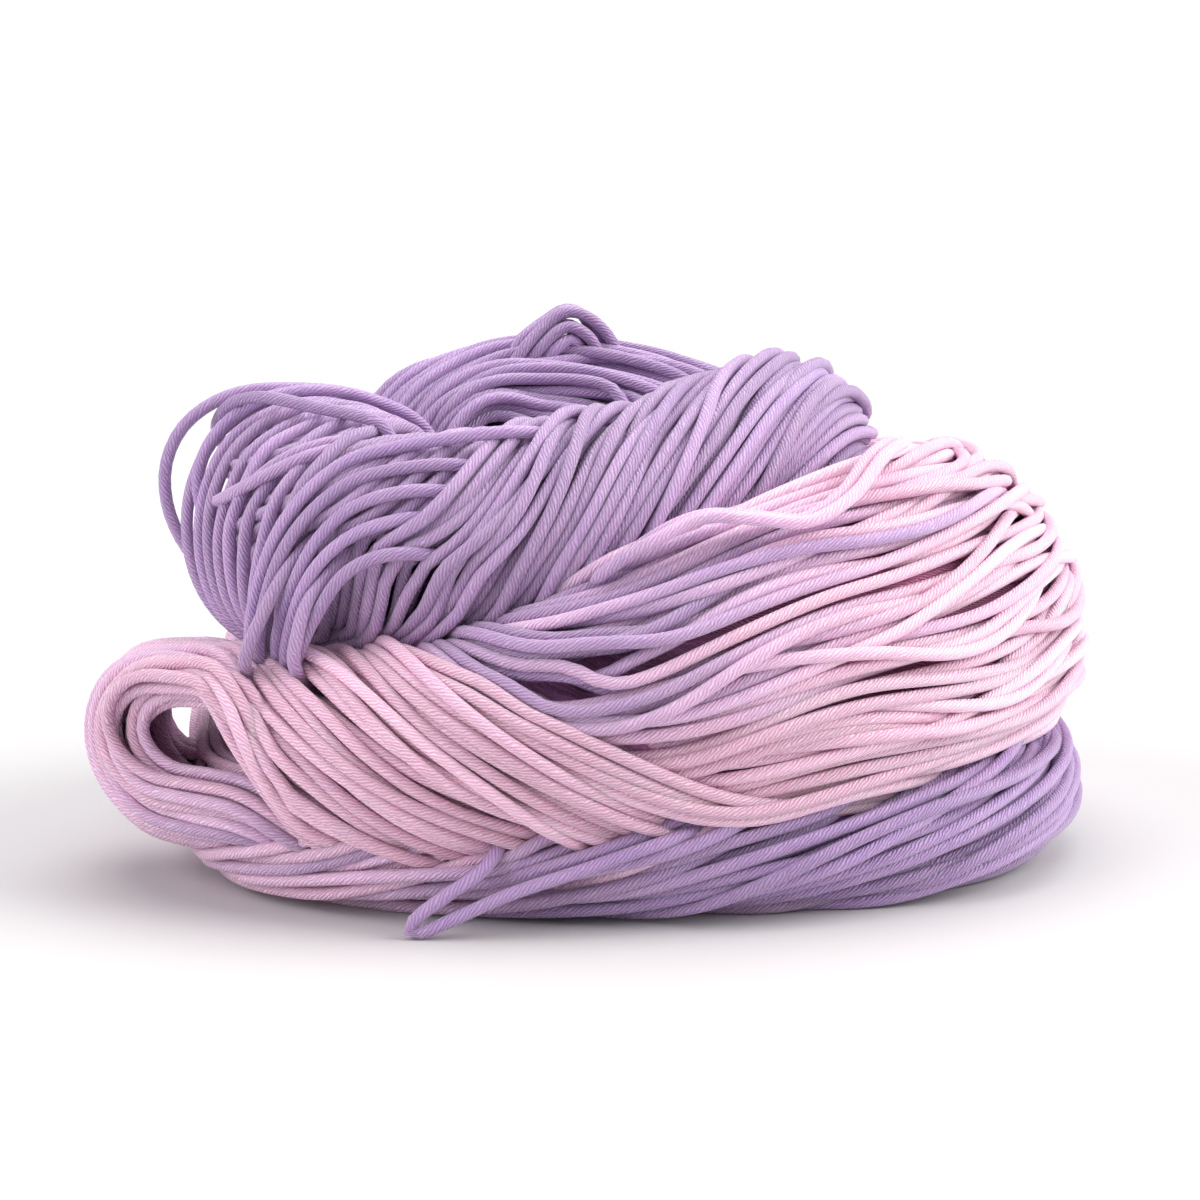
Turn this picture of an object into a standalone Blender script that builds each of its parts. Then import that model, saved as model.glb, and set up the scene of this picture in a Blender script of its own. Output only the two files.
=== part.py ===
"""A hand-dyed yarn skein, heaped in loose coils on a table.

The skein is one doubled hank of yarn.  Its loose end loops lie at the left, and from
there the bundle goes round the front as the middle turn, comes down at the left to the
bottom turn on the table, winds once more inside that while it climbs, and lies round
the top as the upper turn.  The bundle is twisted, so that its locks of yarn run
slanting over it.  Units are metres, with Z up.
"""
import math
from collections import namedtuple

import bmesh
import bpy
from mathutils import Vector

MM = 0.001

# Driving sizes of the bundle.
BUNDLE_LOCKS = 10         # locks of yarn that show round the bundle
LOOP_LOCKS = 4            # locks in the small loop on top
POINTS_PER_LOCK = 3
GROOVE_DEPTH = 1.5 * MM   # how far the groove between two locks goes in
GROOVE_SWING = 0.4        # how unevenly deep the grooves are
GROOVE_WAVE = 47.0 * MM   # length along the bundle of one deep and shallow groove
GROOVE_PHASE = 2.4        # shift of that wave from one point round the bundle to the next
RING_STEP = 7.0 * MM      # distance between the sections of the loft
END_ROUNDING = 12.0 * MM  # length over which an end closes
END_SIZE = 0.3            # size of the last section against a full one
SAMPLES_PER_ROW = 24      # steps in which the length between two rows is measured
NEARBY = 0.02             # part of a row over which the course's direction is read

# The heap's footprint is centred on the origin, and the table top is at zero.
FOOTPRINT_SHIFT = Vector((-0.8, -0.44, 0.0)) * MM
FLOOR_CUTTER_SIZE = 300.0 * MM

# The bundle's course, seen from above and counter-clockwise, in millimetres.
# lean tilts the top of a section towards the inside of the coil, and twist is
# how far the locks have turned round the bundle there, both in degrees.
Section = namedtuple("Section", "x y z half_width half_height lean twist")

MIDDLE_TURN = [
    Section(-71.0, -13.0, 18.5, 8.0, 12.0, 0.0, 0.0),
    Section(-54.0, -30.0, 19.5, 11.0, 14.5, 0.0, 0.0),
    Section(-35.0, -41.0, 21.0, 13.5, 15.5, 0.0, -48.0),
    Section(-14.0, -48.0, 23.5, 14.0, 16.5, 0.0, -128.0),
    Section(10.0, -48.0, 29.5, 14.0, 21.0, 0.0, -212.0),
    Section(33.0, -40.0, 34.5, 14.0, 23.5, 8.0, -232.0),
    Section(49.0, -21.0, 37.0, 16.5, 24.0, 18.0, -240.0),
    Section(56.5, 2.0, 36.5, 16.5, 22.5, 28.0, -245.0),
    Section(48.0, 27.0, 37.0, 18.0, 20.0, 22.0, -260.0),
    Section(25.0, 44.0, 37.0, 17.0, 16.5, 5.0, -285.0),
    Section(-8.0, 46.0, 36.0, 17.0, 15.0, 0.0, -310.0),
    Section(-34.0, 36.0, 28.0, 16.0, 15.0, 0.0, -330.0),
    Section(-44.5, 16.0, 18.0, 13.0, 15.0, 0.0, -340.0),
]
BOTTOM_TURN = [
    Section(-45.0, -9.0, 11.5, 14.0, 14.0, 0.0, -345.0),
    Section(-36.0, -32.0, 10.0, 17.0, 12.5, 0.0, -340.0),
    Section(-4.0, -40.0, 10.0, 19.0, 12.5, 0.0, -300.0),
    Section(28.0, -35.0, 10.0, 20.0, 12.5, 0.0, -250.0),
    Section(49.0, -20.0, 10.0, 20.0, 12.5, 0.0, -215.0),
    Section(54.0, 3.0, 11.0, 19.0, 12.5, 0.0, -200.0),
    Section(42.0, 27.0, 11.0, 19.0, 12.5, 0.0, -200.0),
    Section(14.0, 40.0, 11.5, 18.0, 13.0, 0.0, -200.0),
    Section(-12.0, 37.0, 12.5, 16.0, 13.5, 0.0, -200.0),
]
INNER_TURN = [
    Section(-31.0, 20.0, 13.5, 15.0, 14.0, 0.0, -200.0),
    Section(-30.5, -1.0, 15.0, 15.0, 15.5, 0.0, -200.0),
    Section(-12.0, -14.0, 18.0, 13.5, 18.5, 0.0, -200.0),
    Section(12.0, -9.0, 20.0, 15.5, 20.0, 0.0, -200.0),
    Section(15.0, 12.0, 22.5, 16.5, 22.0, 0.0, -200.0),
    Section(-7.0, 23.0, 30.5, 15.0, 23.0, 0.0, -200.0),
    Section(-33.0, 16.0, 45.0, 13.0, 15.5, 0.0, -200.0),
]
UPPER_TURN = [
    Section(-44.5, -4.0, 50.5, 12.0, 16.0, 0.0, -190.0),
    Section(-39.0, -23.0, 47.5, 14.0, 16.5, 0.0, -150.0),
    Section(-20.0, -34.0, 47.5, 15.5, 16.5, 0.0, -50.0),
    Section(0.0, -33.0, 51.0, 15.0, 16.0, 0.0, 60.0),
    Section(15.0, -26.0, 56.5, 14.0, 14.0, 0.0, 130.0),
    Section(26.0, -13.0, 61.0, 12.5, 12.5, 0.0, 165.0),
    Section(30.0, 5.0, 56.5, 13.0, 12.0, 0.0, 175.0),
    Section(24.5, 21.0, 52.5, 13.0, 12.0, 0.0, 180.0),
    Section(8.0, 30.0, 57.5, 15.0, 12.0, 0.0, 180.0),
    Section(-12.0, 30.0, 59.0, 15.0, 12.0, 0.0, 180.0),
    Section(-29.0, 22.0, 52.5, 12.0, 11.0, 0.0, 180.0),
]
TOP_LOOP = [
    Section(7.0, 30.0, 63.0, 4.0, 4.5, 0.0, 0.0),
    Section(1.0, 29.0, 70.5, 4.0, 4.5, 0.0, 30.0),
    Section(-7.0, 28.0, 72.0, 4.0, 4.5, 0.0, 60.0),
    Section(-13.0, 27.0, 65.0, 4.0, 4.5, 0.0, 90.0),
]

YARN_COLOUR = (0.62, 0.50, 0.80, 1.0)
YARN_ROUGHNESS = 0.75


def clear_scene():
    """Remove whatever the scene holds."""
    for obj in list(bpy.data.objects):
        bpy.data.objects.remove(obj, do_unlink=True)


def new_collection(name):
    """Return a new collection that is linked to the scene."""
    collection = bpy.data.collections.new(name)
    bpy.context.scene.collection.children.link(collection)
    return collection


def yarn_material():
    """Return the matt lavender finish of the yarn."""
    material = bpy.data.materials.new("yarn")
    material.use_nodes = True
    shader = material.node_tree.nodes["Principled BSDF"]
    shader.inputs["Base Color"].default_value = YARN_COLOUR
    shader.inputs["Roughness"].default_value = YARN_ROUGHNESS
    shader.inputs["Metallic"].default_value = 0.0
    return material


def spline_value(values, position):
    """Read a Catmull-Rom curve through the values at a position counted in rows."""
    last = len(values) - 1
    row = min(int(position), last - 1)
    t = position - row
    p1, p2 = values[row], values[row + 1]
    p0 = values[row - 1] if row > 0 else 2.0 * p1 - p2
    p3 = values[row + 2] if row + 2 <= last else 2.0 * p2 - p1
    return 0.5 * (2.0 * p1 + (p2 - p0) * t
                  + (2.0 * p0 - 5.0 * p1 + 4.0 * p2 - p3) * t * t
                  + (3.0 * p1 - p0 - 3.0 * p2 + p3) * t * t * t)


def section_at(rows, position):
    """Return the section at a position counted in rows."""
    return Section(*(spline_value([row[i] for row in rows], position)
                     for i in range(len(Section._fields))))


def centre_of(section):
    """Return a section's centre in metres."""
    return Vector((section.x, section.y, section.z)) * MM


def even_positions(rows):
    """Return positions along the rows, about RING_STEP apart, with their lengths."""
    steps = (len(rows) - 1) * SAMPLES_PER_ROW
    places = [i / SAMPLES_PER_ROW for i in range(steps + 1)]
    centres = [centre_of(section_at(rows, place)) for place in places]
    lengths = [0.0]
    for before, after in zip(centres, centres[1:]):
        lengths.append(lengths[-1] + (after - before).length)
    count = round(lengths[-1] / RING_STEP)
    even, index = [], 0
    for ring in range(count + 1):
        wanted = lengths[-1] * ring / count
        while index < steps - 1 and lengths[index + 1] < wanted:
            index += 1
        part = (wanted - lengths[index]) / (lengths[index + 1] - lengths[index])
        even.append((places[index] + part * (places[index + 1] - places[index]), wanted))
    return even


def end_size(distance):
    """Return how full the bundle is at a distance from its end."""
    reach = min(distance / END_ROUNDING, 1.0)
    return max(math.sqrt(1.0 - (1.0 - reach) ** 2), END_SIZE)


def ring_points(rows, position, along, size, locks):
    """Return the points of one section of the loft, grooved between its locks."""
    section = section_at(rows, position)
    ahead = centre_of(section_at(rows, min(position + NEARBY, len(rows) - 1.0)))
    behind = centre_of(section_at(rows, max(position - NEARBY, 0.0)))
    tangent = (ahead - behind).normalized()
    outward = tangent.cross(Vector((0.0, 0.0, 1.0))).normalized()
    upward = outward.cross(tangent)
    lean, twist = math.radians(section.lean), math.radians(section.twist)
    count = locks * POINTS_PER_LOCK
    points = []
    for i in range(count):
        angle = 2.0 * math.pi * i / count + twist
        groove = 0.0
        if i % POINTS_PER_LOCK == 0:
            swing = math.sin(2.0 * math.pi * along / GROOVE_WAVE + GROOVE_PHASE * i)
            groove = GROOVE_DEPTH * (1.0 + GROOVE_SWING * swing)
        across = (section.half_width * MM - groove) * size * math.cos(angle)
        up = (section.half_height * MM - groove) * size * math.sin(angle)
        points.append(centre_of(section)
                      + outward * (across * math.cos(lean) - up * math.sin(lean))
                      + upward * (across * math.sin(lean) + up * math.cos(lean)))
    return points


def loft_bundle(name, rows, locks):
    """Loft a closed bundle of yarn along its course."""
    mesh = bmesh.new()
    rings = []
    stations = even_positions(rows)
    whole = stations[-1][1]
    for position, along in stations:
        size = end_size(min(along, whole - along))
        rings.append([mesh.verts.new(point)
                      for point in ring_points(rows, position, along, size, locks)])
    for ring, following in zip(rings, rings[1:]):
        for i in range(len(ring)):
            j = (i + 1) % len(ring)
            mesh.faces.new((ring[i], ring[j], following[j], following[i]))
    mesh.faces.new(rings[0])
    mesh.faces.new(rings[-1])
    bmesh.ops.recalc_face_normals(mesh, faces=mesh.faces)
    bmesh.ops.triangulate(mesh, faces=mesh.faces)
    data = bpy.data.meshes.new(name)
    mesh.to_mesh(data)
    mesh.free()
    return bpy.data.objects.new(name, data)


def add_boolean(target, tool, operation):
    """Join a tool to the target, or cut it away, with an exact Boolean."""
    boolean = target.modifiers.new(tool.name, "BOOLEAN")
    boolean.operation = operation
    boolean.object = tool
    boolean.solver = "EXACT"
    boolean.use_self = True


def hide_tool(tool, tools):
    """Keep a joined or cutting shape as a guide that isn't rendered."""
    tools.objects.link(tool)
    tool.hide_render = True
    tool.display_type = "WIRE"


def floor_cutter():
    """Return the block below the table top that gives the heap its flat base."""
    block = bmesh.new()
    bmesh.ops.create_cube(block, size=FLOOR_CUTTER_SIZE)
    data = bpy.data.meshes.new("below_table")
    block.to_mesh(data)
    block.free()
    cutter = bpy.data.objects.new("below_table", data)
    cutter.location.z = -0.5 * FLOOR_CUTTER_SIZE
    return cutter


def outer_shell(mesh):
    """Keep a mesh's largest shell, so that the pockets closed between turns are filled."""
    left = set(mesh.faces)
    shells = []
    while left:
        shell, front = set(), [left.pop()]
        while front:
            face = front.pop()
            shell.add(face)
            for edge in face.edges:
                for other in edge.link_faces:
                    if other in left:
                        left.remove(other)
                        front.append(other)
        shells.append(shell)
    shells.sort(key=len)
    for shell in shells[:-1]:
        bmesh.ops.delete(mesh, geom=list(shell), context="FACES")


def finished_mesh(obj):
    """Return the joined shape as one plain mesh with its closed pockets filled."""
    bpy.context.view_layer.update()
    joined = bpy.data.meshes.new_from_object(obj.evaluated_get(
        bpy.context.evaluated_depsgraph_get()))
    mesh = bmesh.new()
    mesh.from_mesh(joined)
    outer_shell(mesh)
    bmesh.ops.translate(mesh, verts=mesh.verts, vec=FOOTPRINT_SHIFT)
    mesh.to_mesh(joined)
    mesh.free()
    return joined


def build_skein():
    """Join the bundle and its top loop into the one solid of the heaped skein."""
    parts = new_collection("yarn_skein")
    tools = new_collection("cutters")
    course = MIDDLE_TURN + BOTTOM_TURN + INNER_TURN + UPPER_TURN
    skein = loft_bundle("skein", course, BUNDLE_LOCKS)
    top_loop = loft_bundle("top_loop", TOP_LOOP, LOOP_LOCKS)
    below_table = floor_cutter()
    parts.objects.link(skein)
    hide_tool(top_loop, tools)
    hide_tool(below_table, tools)
    add_boolean(skein, top_loop, "UNION")
    add_boolean(skein, below_table, "DIFFERENCE")
    skein.data = finished_mesh(skein)
    skein.modifiers.clear()
    skein.data.name = "skein"
    skein.data.materials.clear()
    skein.data.materials.append(yarn_material())
    return skein


clear_scene()
build_skein()
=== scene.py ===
"""Dress a packed yarn skein, strand by strand, and light it as a plain product shot.

The skein is one doubled hank: closed loops of plied yarn that lie side by side along one
course.  Their end loops show at the left, and from there the bundle goes round the heap as
the middle, bottom, inner and upper turns.  Every loop follows its own wandering line in the
bundle, and the loops are then settled against each other and against the table.  Lengths
are in millimetres until a mesh is made, which is in metres, with Z up.
"""
import logging
import math
from dataclasses import astuple, dataclass, field
from enum import Enum
from itertools import product

import bpy
import numpy as np
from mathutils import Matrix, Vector


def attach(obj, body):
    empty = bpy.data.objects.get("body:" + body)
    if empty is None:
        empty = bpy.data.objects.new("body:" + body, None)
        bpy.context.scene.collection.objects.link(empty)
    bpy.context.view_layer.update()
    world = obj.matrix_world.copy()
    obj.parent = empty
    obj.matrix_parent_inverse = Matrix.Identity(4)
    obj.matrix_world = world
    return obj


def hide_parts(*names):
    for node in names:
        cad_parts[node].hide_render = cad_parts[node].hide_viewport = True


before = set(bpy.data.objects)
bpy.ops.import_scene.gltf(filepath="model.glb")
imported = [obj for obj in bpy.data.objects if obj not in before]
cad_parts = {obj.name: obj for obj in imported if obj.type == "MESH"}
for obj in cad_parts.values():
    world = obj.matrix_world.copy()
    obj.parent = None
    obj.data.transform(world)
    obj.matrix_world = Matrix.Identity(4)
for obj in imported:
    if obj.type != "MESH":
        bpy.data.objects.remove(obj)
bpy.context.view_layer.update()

MM = 0.001
BODY = "root"
SKEIN_NODE = "skein"
FOOTPRINT_SHIFT = (-0.8, -0.44, 0.0)

# A direction that no strand starts along.
ASKEW = (0.31, 0.17, 0.93)
# How far apart the numbers of neighbouring strands are that give them their shades.
SHADE_STEP = 0.37
INNER_SHADE_STEP = 0.618

LOG = logging.getLogger("skein")
Socket = bpy.types.NodeSocket


@dataclass(frozen=True)
class Section:
    """One section of the bundle: its centre, half sizes, and how it twists and leans.

    Twist is how far the strands have turned round the bundle there.  Lean tilts the
    section's top towards the inside of the coil.  Both are in degrees.
    """

    x: float
    y: float
    z: float
    half_width: float = 1.0
    half_height: float = 1.0
    twist: float = 0.0
    lean: float = 0.0


def sections(*rows: tuple[float, ...]) -> tuple[Section, ...]:
    """Return the sections of one turn of the skein, given by their values."""
    return tuple(Section(*row) for row in rows)


MIDDLE_TURN = sections(
    (-71, -13, 18.5, 8, 12, 0), (-54, -30, 19.5, 11, 14.5, 0), (-35, -41, 21, 13.5, 15.5, -48),
    (-14, -48, 23.5, 14, 16.5, -128), (10, -48, 29.5, 14, 21, -212),
    (33, -40, 34.5, 14, 23.5, -232, 8), (49, -21, 37, 16.5, 24, -240, 18),
    (56.5, 2, 36.5, 16.5, 22.5, -245, 28), (48, 27, 37, 18, 20, -260, 22),
    (25, 44, 37, 17, 16.5, -285, 5), (-8, 46, 36, 17, 15, -310), (-34, 36, 28, 16, 15, -330),
    (-44.5, 16, 18, 13, 15, -340),
)
BOTTOM_TURN = sections(
    (-45, -9, 11.5, 14, 14, -345), (-36, -32, 10, 17, 12.5, -340), (-4, -40, 10, 19, 12.5, -300),
    (28, -35, 10, 20, 12.5, -250), (49, -20, 10, 20, 12.5, -215), (54, 3, 11, 19, 12.5, -200),
    (42, 27, 11, 19, 12.5, -200), (14, 40, 11.5, 18, 13, -200), (-12, 37, 12.5, 16, 13.5, -200),
)
INNER_TURN = sections(
    (-31, 20, 13.5, 15, 14, -200), (-30.5, -1, 15, 15, 15.5, -200),
    (-12, -14, 18, 13.5, 18.5, -200), (12, -9, 20, 15.5, 20, -200),
    (15, 12, 22.5, 16.5, 22, -200), (-7, 23, 30.5, 15, 23, -200), (-33, 16, 45, 13, 15.5, -200),
)
UPPER_TURN = sections(
    (-44.5, -4, 50.5, 12, 16, -190), (-39, -23, 47.5, 14, 16.5, -150),
    (-20, -34, 47.5, 15.5, 16.5, -50), (0, -33, 51, 15, 16, 60), (15, -26, 56.5, 14, 14, 130),
    (26, -13, 61, 12.5, 12.5, 165), (30, 5, 56.5, 13, 12, 175), (24.5, 21, 52.5, 13, 12, 180),
    (8, 30, 57.5, 15, 12, 180), (-12, 30, 59, 15, 12, 180), (-29, 22, 52.5, 12, 11, 180),
)


class Branch(Enum):
    """The two runs of every closed loop, by the side on which they leave the left end."""

    OVER = 1.0
    UNDER = -1.0


class YarnTone(Enum):
    """The colours of the dyed yarn, from its deepest lavender to its palest pink."""

    LAVENDER = (0.40, 0.28, 0.52)
    LILAC = (0.55, 0.39, 0.60)
    MAUVE = (0.88, 0.60, 0.82)
    PINK = (0.95, 0.60, 0.75)
    BLUSH = (0.97, 0.70, 0.85)


def smooth_step(value: np.ndarray) -> np.ndarray:
    """Return an even rise from 0 to 1 as the value goes from 0 to 1."""
    held = np.clip(value, 0.0, 1.0)
    return held * held * (3.0 - 2.0 * held)


def hump(along: np.ndarray, middle: float, reach: float) -> np.ndarray:
    """Return a smooth rise to 1 at the middle of a stretch, and back to 0."""
    return np.exp(-((along - middle) / reach) ** 2)


def unit(vectors: np.ndarray) -> np.ndarray:
    """Return the vectors at length one."""
    return vectors / np.maximum(np.linalg.norm(vectors, axis=-1, keepdims=True), 1e-9)


def points_at(places: np.ndarray, along: np.ndarray, points: np.ndarray) -> np.ndarray:
    """Return the points at other lengths along the line that they follow."""
    return np.stack([np.interp(places, along, points[:, i]) for i in range(3)], axis=1)


@dataclass
class Course:
    """The line that a bundle lies along, read at even steps."""

    rows: tuple[Section, ...]  # sections along the course, joined by a Catmull-Rom curve
    step: float = 2.2  # distance between two stations
    samples_per_row: int = 24  # steps in which the length between two rows is measured
    along: np.ndarray = field(init=False)
    centre: np.ndarray = field(init=False)
    tangent: np.ndarray = field(init=False)
    across: np.ndarray = field(init=False)
    upward: np.ndarray = field(init=False)
    half_width: np.ndarray = field(init=False)
    half_height: np.ndarray = field(init=False)
    twist: np.ndarray = field(init=False)

    def __post_init__(self) -> None:
        """Work out the stations and their axes from the rows."""
        last = len(self.rows) - 1
        places = np.linspace(0.0, last, last * self.samples_per_row + 1)
        centres = self.read(places)[:, :3]
        lengths = np.r_[0.0, np.cumsum(np.linalg.norm(np.diff(centres, axis=0), axis=1))]
        self.along = np.linspace(0.0, lengths[-1], round(lengths[-1] / self.step) + 1)
        values = self.read(np.interp(self.along, lengths, places))
        self.centre = values[:, :3] + np.array(FOOTPRINT_SHIFT)
        self.tangent = unit(np.gradient(self.centre, axis=0))
        outward = unit(np.cross(self.tangent, (0.0, 0.0, 1.0)))
        up = np.cross(outward, self.tangent)
        lean = np.radians(values[:, 6:7])
        self.across = outward * np.cos(lean) + up * np.sin(lean)
        self.upward = up * np.cos(lean) - outward * np.sin(lean)
        self.half_width = values[:, 3]
        self.half_height = values[:, 4]
        self.twist = np.radians(values[:, 5])

    def read(self, places: np.ndarray) -> np.ndarray:
        """Read the curve through the rows.

        Args:
            places: Positions counted in rows.

        Returns:
            One row of section values for each place.
        """
        table = np.array([astuple(row) for row in self.rows])
        table = np.vstack([2.0 * table[0] - table[1], table, 2.0 * table[-1] - table[-2]])
        row = np.minimum(places.astype(int), len(self.rows) - 2)
        t = (places - row)[:, None]
        before, start, end, after = (table[row + i] for i in range(4))
        return 0.5 * (2.0 * start + (end - before) * t
                      + (2.0 * before - 5.0 * start + 4.0 * end - after) * t ** 2
                      + (3.0 * start - before - 3.0 * end + after) * t ** 3)

    @property
    def length(self) -> float:
        """Return the length of the course."""
        return float(self.along[-1])

    def place(self, over: np.ndarray, out: np.ndarray, inset: np.ndarray) -> np.ndarray:
        """Return points in the sections, given in shares of each section's size.

        Args:
            over: Share of the half height at each station.
            out: Share of the half width at each station.
            inset: How far inside the section's edge a share of one lies.

        Returns:
            The points, one for each station.
        """
        side = np.maximum(self.half_width - inset, 0.5) * out
        top = np.maximum(self.half_height - inset, 0.5) * over
        return self.centre + self.across * side[..., None] + self.upward * top[..., None]

    def spaced(self, angle: np.ndarray) -> np.ndarray:
        """Return angles round the sections so spaced that equal steps are as long."""
        flatness = (self.half_height - self.half_width) / (self.half_height + self.half_width)
        return angle - 0.5 * flatness * np.sin(2.0 * angle)


@dataclass(frozen=True)
class DyeMark:
    """How pink the yarn is at a length along the course, from 0, lavender, to 1, blush.

    The over and under values belong to the two branches of the hank, and seam to the
    strands of the under branch that lie next to the over branch.
    """

    along: float
    over: float
    seam: float
    under: float


DYE_MARKS = tuple(DyeMark(*row) for row in (
    (0, 0.5, 0.5, 0.5), (25, 0.62, 0.66, 0.66), (48, 0.74, 0.7, 0.4), (66, 0.78, 0.72, 0.2),
    (90, 0.8, 0.74, 0.16), (112, 0.84, 0.82, 0.4), (135, 0.94, 0.94, 0.82), (155, 0.9, 0.9, 0.9),
    (215, 0.88, 0.88, 0.88), (250, 0.7, 0.75, 0.75), (285, 0.4, 0.35, 0.35),
    (320, 0.6, 0.62, 0.62), (345, 0.66, 0.66, 0.66), (372, 0.6, 0.6, 0.6), (396, 0.26, 0.3, 0.26),
    (420, 0.06, 0.08, 0.08), (520, 0.04, 0.06, 0.08), (580, 0.4, 0.35, 0.35),
    (640, 0.6, 0.6, 0.6), (700, 0.2, 0.2, 0.2), (760, 0.2, 0.2, 0.2), (850, 0.16, 0.18, 0.18),
    (880, 0.08, 0.1, 0.1), (960, 0.1, 0.12, 0.1),
))
# How far round from the seam the dye changes, and the share of that in which it holds.
SEAM_REACH = math.radians(62.0)
SEAM_HOLD = 0.35
# The place along the course, half length and depth of the waist in the upper turn.
WAIST_ALONG = 764.0
WAIST_REACH = 24.0
WAIST_DEPTH = 4.0


def waist_at(along: np.ndarray) -> np.ndarray:
    """Return how much deeper the bundle lies where the standing strands go round it."""
    return WAIST_DEPTH * hump(along, WAIST_ALONG, WAIST_REACH)


def dye_at(along: np.ndarray, branch: Branch, angle: float = 0.5 * math.pi) -> np.ndarray:
    """Return how pink a strand is at lengths along the course.

    Args:
        along: The lengths.
        branch: The strand's branch of the hank.
        angle: How far round the bundle from the seam on its back, in radians.

    Returns:
        The dye at each length.
    """
    marks = np.array([astuple(mark) for mark in DYE_MARKS]).T
    over, seam, under = (np.interp(along, marks[0], dye) for dye in marks[1:])
    if branch is Branch.OVER:
        return over
    return seam + (under - seam) * smooth_step(np.array(angle / SEAM_REACH - SEAM_HOLD))


@dataclass(frozen=True)
class Parting:
    """A place where the strands part and show the deeper yarn between them."""

    along: float  # length along the course of its middle
    angle: float  # where it lies round the bundle, in degrees, 0 outward and 90 up
    reach: float  # half its length along the strands
    width: float  # half its width round the bundle, in degrees
    push: float  # how far it moves the strands beside it, in degrees
    pit: float  # how far the inner yarn lies back in it
    inner: float  # share of the push that the inner layer of strands takes

    def offset(self, theta: np.ndarray) -> np.ndarray:
        """Return how far round from its middle angles are, in degrees."""
        return (np.degrees(theta) - self.angle + 180.0) % 360.0 - 180.0

    def nearness(self, along: np.ndarray, theta: np.ndarray) -> np.ndarray:
        """Return how near places on the bundle are to its middle, up to 1."""
        return np.exp(-((along - self.along) / self.reach) ** 2
                      - 0.5 * (self.offset(theta) / self.width) ** 2)

    def shift(self, along: np.ndarray, theta: np.ndarray, layer: int) -> np.ndarray:
        """Return how far it moves a strand round the bundle, in radians.

        Args:
            along: Lengths along the course.
            theta: The strand's angles there, in radians.
            layer: The strand's layer, 0 outside.

        Returns:
            The shift at each length.
        """
        side = np.tanh(self.offset(theta) / (0.35 * self.width))
        share = self.inner if layer else 1.0
        return share * math.radians(self.push) * side * self.nearness(along, theta)


@dataclass(frozen=True)
class Tangle:
    """A stretch where the strands stray further from their places."""

    along: float  # length along the course of its middle
    reach: float  # half its length
    more: float  # how much further they stray, as a share of the usual straying


PARTINGS = (
    Parting(along=84.0, angle=32.0, reach=8.0, width=10.0, push=9.0, pit=5.0, inner=1.0),
    Parting(along=133.0, angle=2.0, reach=10.0, width=9.0, push=6.0, pit=2.0, inner=0.15),
    Parting(along=797.0, angle=350.0, reach=13.0, width=20.0, push=28.0, pit=8.0, inner=1.0),
    Parting(along=906.0, angle=154.0, reach=26.0, width=9.0, push=14.0, pit=7.0, inner=1.0),
    Parting(along=926.0, angle=122.0, reach=28.0, width=8.0, push=12.0, pit=6.0, inner=1.0),
)
TANGLES = (
    Tangle(along=160.0, reach=26.0, more=0.4),
    Tangle(along=762.0, reach=24.0, more=0.5),
)


@dataclass
class NodeGraph:
    """Adds nodes to a material's or a world's tree and joins them."""

    tree: bpy.types.NodeTree

    def feed(self, node: bpy.types.Node, **inputs: Socket | float) -> bpy.types.Node:
        """Link sockets to a node's inputs, or set the inputs to values.

        Args:
            node: The node.
            inputs: What goes in, by the input's name with low lines for spaces.

        Returns:
            The node.
        """
        for name, value in inputs.items():
            self.fill(node.inputs[name.replace("_", " ")], value)
        return node

    def fill(self, socket: Socket, value: Socket | float) -> None:
        """Link a socket to an input, or set the input to a value."""
        if isinstance(value, Socket):
            self.tree.links.new(value, socket)
        else:
            socket.default_value = value

    def add(self, kind: str, **inputs: Socket | float) -> bpy.types.Node:
        """Return a new node of a kind, fed with its inputs."""
        return self.feed(self.tree.nodes.new("ShaderNode" + kind), **inputs)

    def read(self, name: str) -> bpy.types.Node:
        """Return a node that reads a point attribute of the mesh."""
        node = self.add("Attribute")
        node.attribute_name = name
        return node

    def math(self, operation: str, *values: Socket | float) -> Socket:
        """Return the outcome of a Math node for its values."""
        node = self.add("Math")
        node.operation = operation
        return self.fill_all(node, values)

    def point(self, *values: Socket) -> Socket:
        """Return the vector of up to three values."""
        return self.fill_all(self.add("CombineXYZ"), values)

    def fill_all(self, node: bpy.types.Node, values: tuple[Socket | float, ...]) -> Socket:
        """Fill a node's inputs in their order, and return its output."""
        for socket, value in zip(node.inputs, values):
            self.fill(socket, value)
        return node.outputs[0]

    def noise(self, place: Socket, scale: float, detail: float) -> Socket:
        """Return the value of a noise at a place."""
        return self.add("TexNoise", Vector=place, Scale=scale, Detail=detail).outputs["Fac"]


# The scale and detail of the noises in the yarn's finish, and how strands lie in them.
DRIFT_NOISE = (0.9, 1.0)
FIBRE_NOISE = (1.6, 3.0)
FIBRE_STRETCH = (0.9, 0.8)
PATCH_NOISE = (0.12, 2.0)
PATCH_STEP = 37.0


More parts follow.
